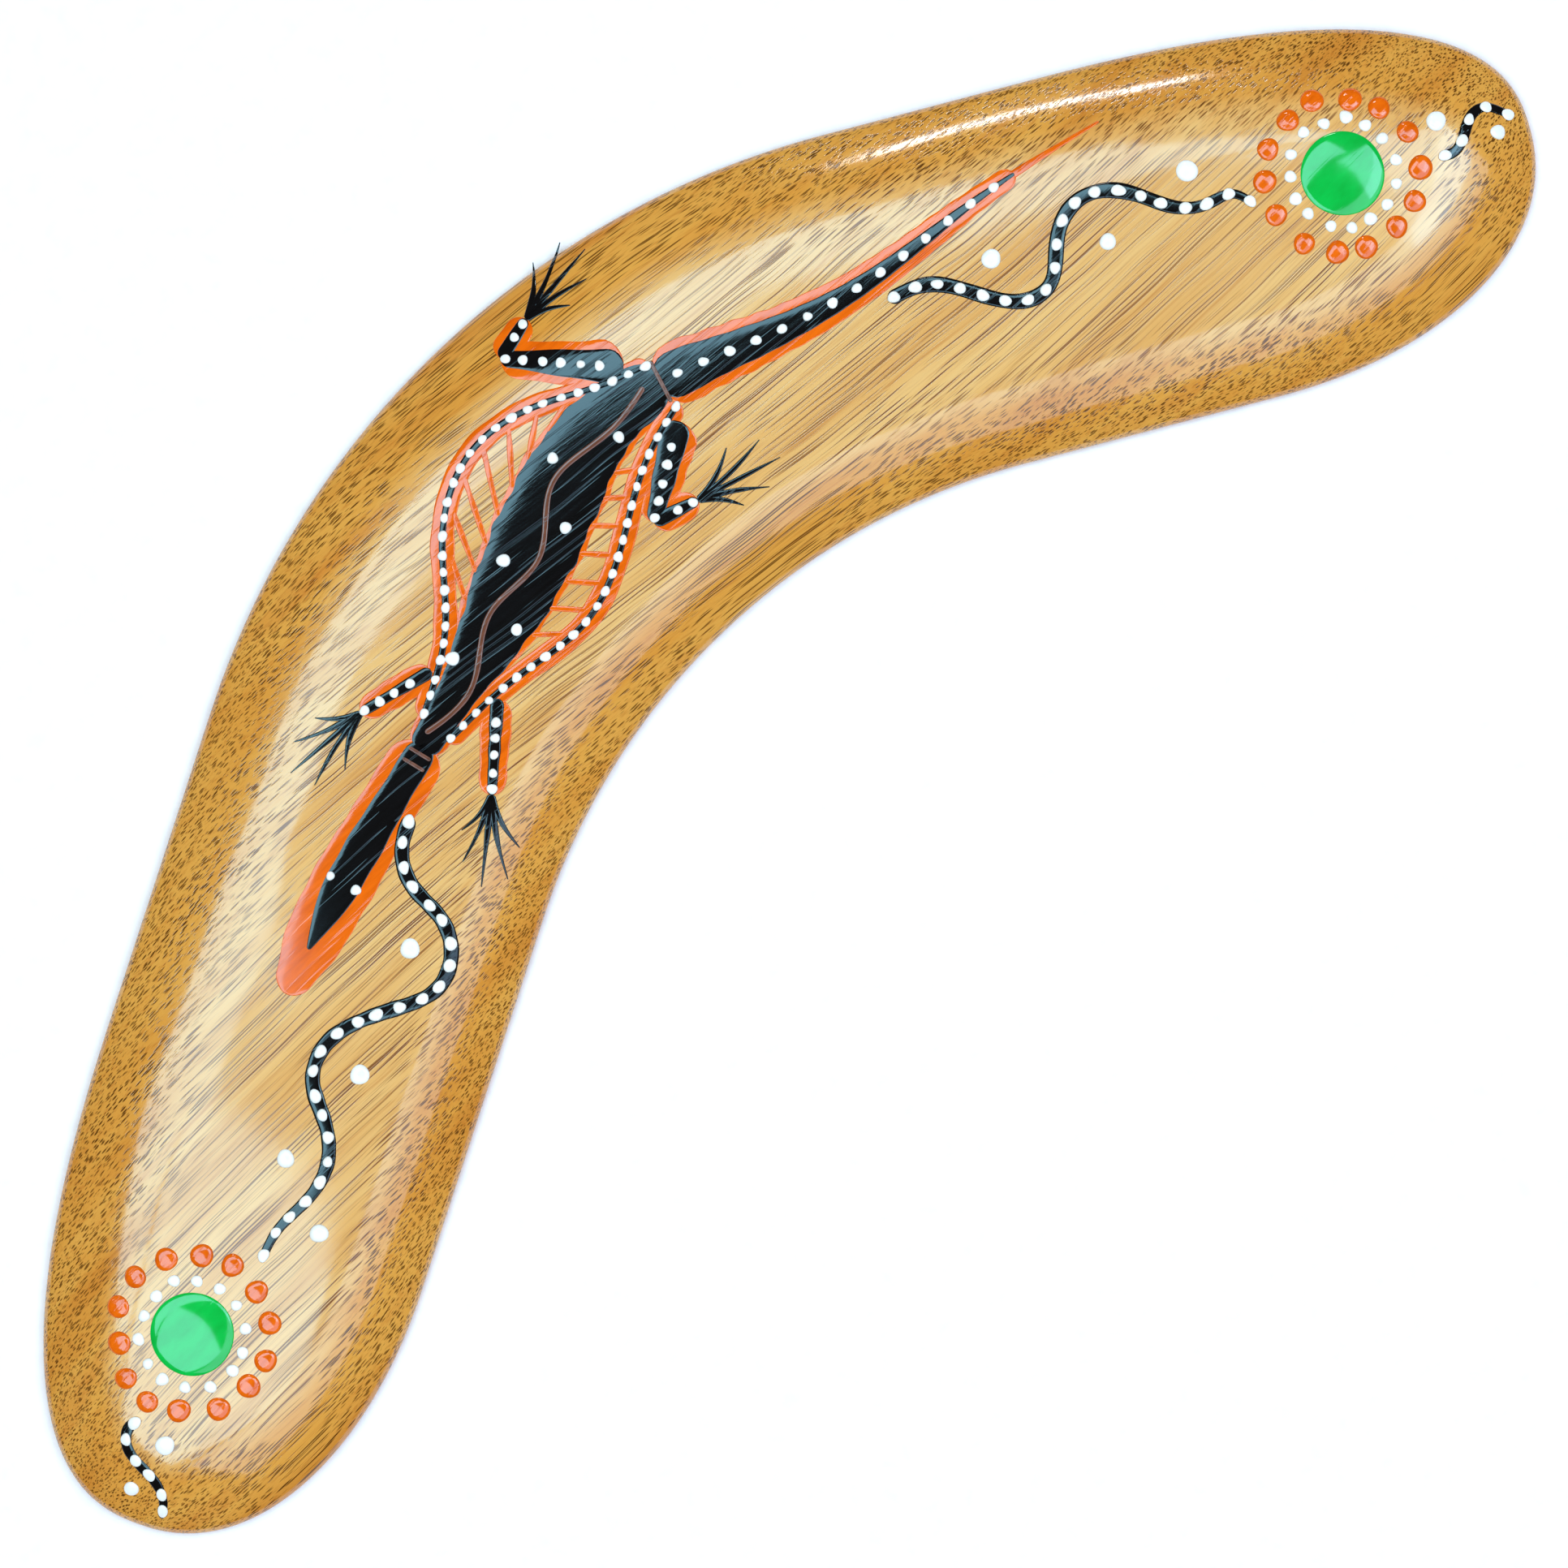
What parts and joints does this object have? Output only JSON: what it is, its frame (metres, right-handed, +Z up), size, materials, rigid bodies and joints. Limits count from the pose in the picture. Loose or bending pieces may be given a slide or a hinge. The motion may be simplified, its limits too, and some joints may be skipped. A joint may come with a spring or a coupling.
{
  "type": "boomerang",
  "caption": "Two-armed hardwood throwing boomerang with a flat underside, rounded bevels and raised painted dot-work: a plain lizard, wavy tracks and dotted rings",
  "frame": {"origin": "on the flat underside, under the middle of the box round the whole boomerang", "axes": "+X from the left tip to the right tip, +Y towards the outside of the elbow, +Z up out of the painted face"},
  "size_m": [0.305, 0.1066, 0.0091],
  "materials": {
    "wood": "clear gloss lacquer over open-pored hardwood",
    "black_paint": "brushed acrylic paint under clear lacquer",
    "orange_paint": "brushed and dotted acrylic paint under clear lacquer",
    "white_paint": "dotted acrylic paint under clear lacquer",
    "green_paint": "poured acrylic paint under clear lacquer",
    "brown_paint": "fine-brush acrylic paint under clear lacquer"
  },
  "bodies": {
    "root": {"back_dots": "white_paint", "back_line": "brown_paint", "border_dots_left": "white_paint", "border_dots_right": "white_paint", "eye_dots": "white_paint", "flank_border_left": "black_paint", "flank_border_right": "black_paint", "flank_hatching_left": "orange_paint", "flank_hatching_right": "orange_paint", "green_disc_left": "green_paint", "green_disc_right": "green_paint", "hip_band": "brown_paint", "leg_dots_front_left": "white_paint", "leg_dots_front_right": "white_paint", "leg_dots_hind_left": "white_paint", "leg_dots_hind_right": "white_paint", "leg_front_left": "black_paint", "leg_front_right": "black_paint", "leg_hind_left": "black_paint", "leg_hind_right": "black_paint", "leg_outline_front_left": "orange_paint", "leg_outline_front_right": "orange_paint", "leg_outline_hind_left": "orange_paint", "leg_outline_hind_right": "orange_paint", "lizard_body": "black_paint", "lizard_head": "black_paint", "lizard_outline": "orange_paint", "lizard_tail": "black_paint", "loose_dots_left": "white_paint", "loose_dots_right": "white_paint", "neck_bands": "brown_paint", "orange_ring_left": "orange_paint", "orange_ring_right": "orange_paint", "tail_dots": "white_paint", "toes_front_left": "black_paint", "toes_front_right": "black_paint", "toes_hind_left": "black_paint", "toes_hind_right": "black_paint", "track_left_inner": "black_paint", "track_left_inner_dots": "white_paint", "track_left_tip": "black_paint", "track_left_tip_dots": "white_paint", "track_right_inner": "black_paint", "track_right_inner_dots": "white_paint", "track_right_tip": "black_paint", "track_right_tip_dots": "white_paint", "white_ring_left": "white_paint", "white_ring_right": "white_paint", "wood_blank": "wood"}
  },
  "joints": []
}
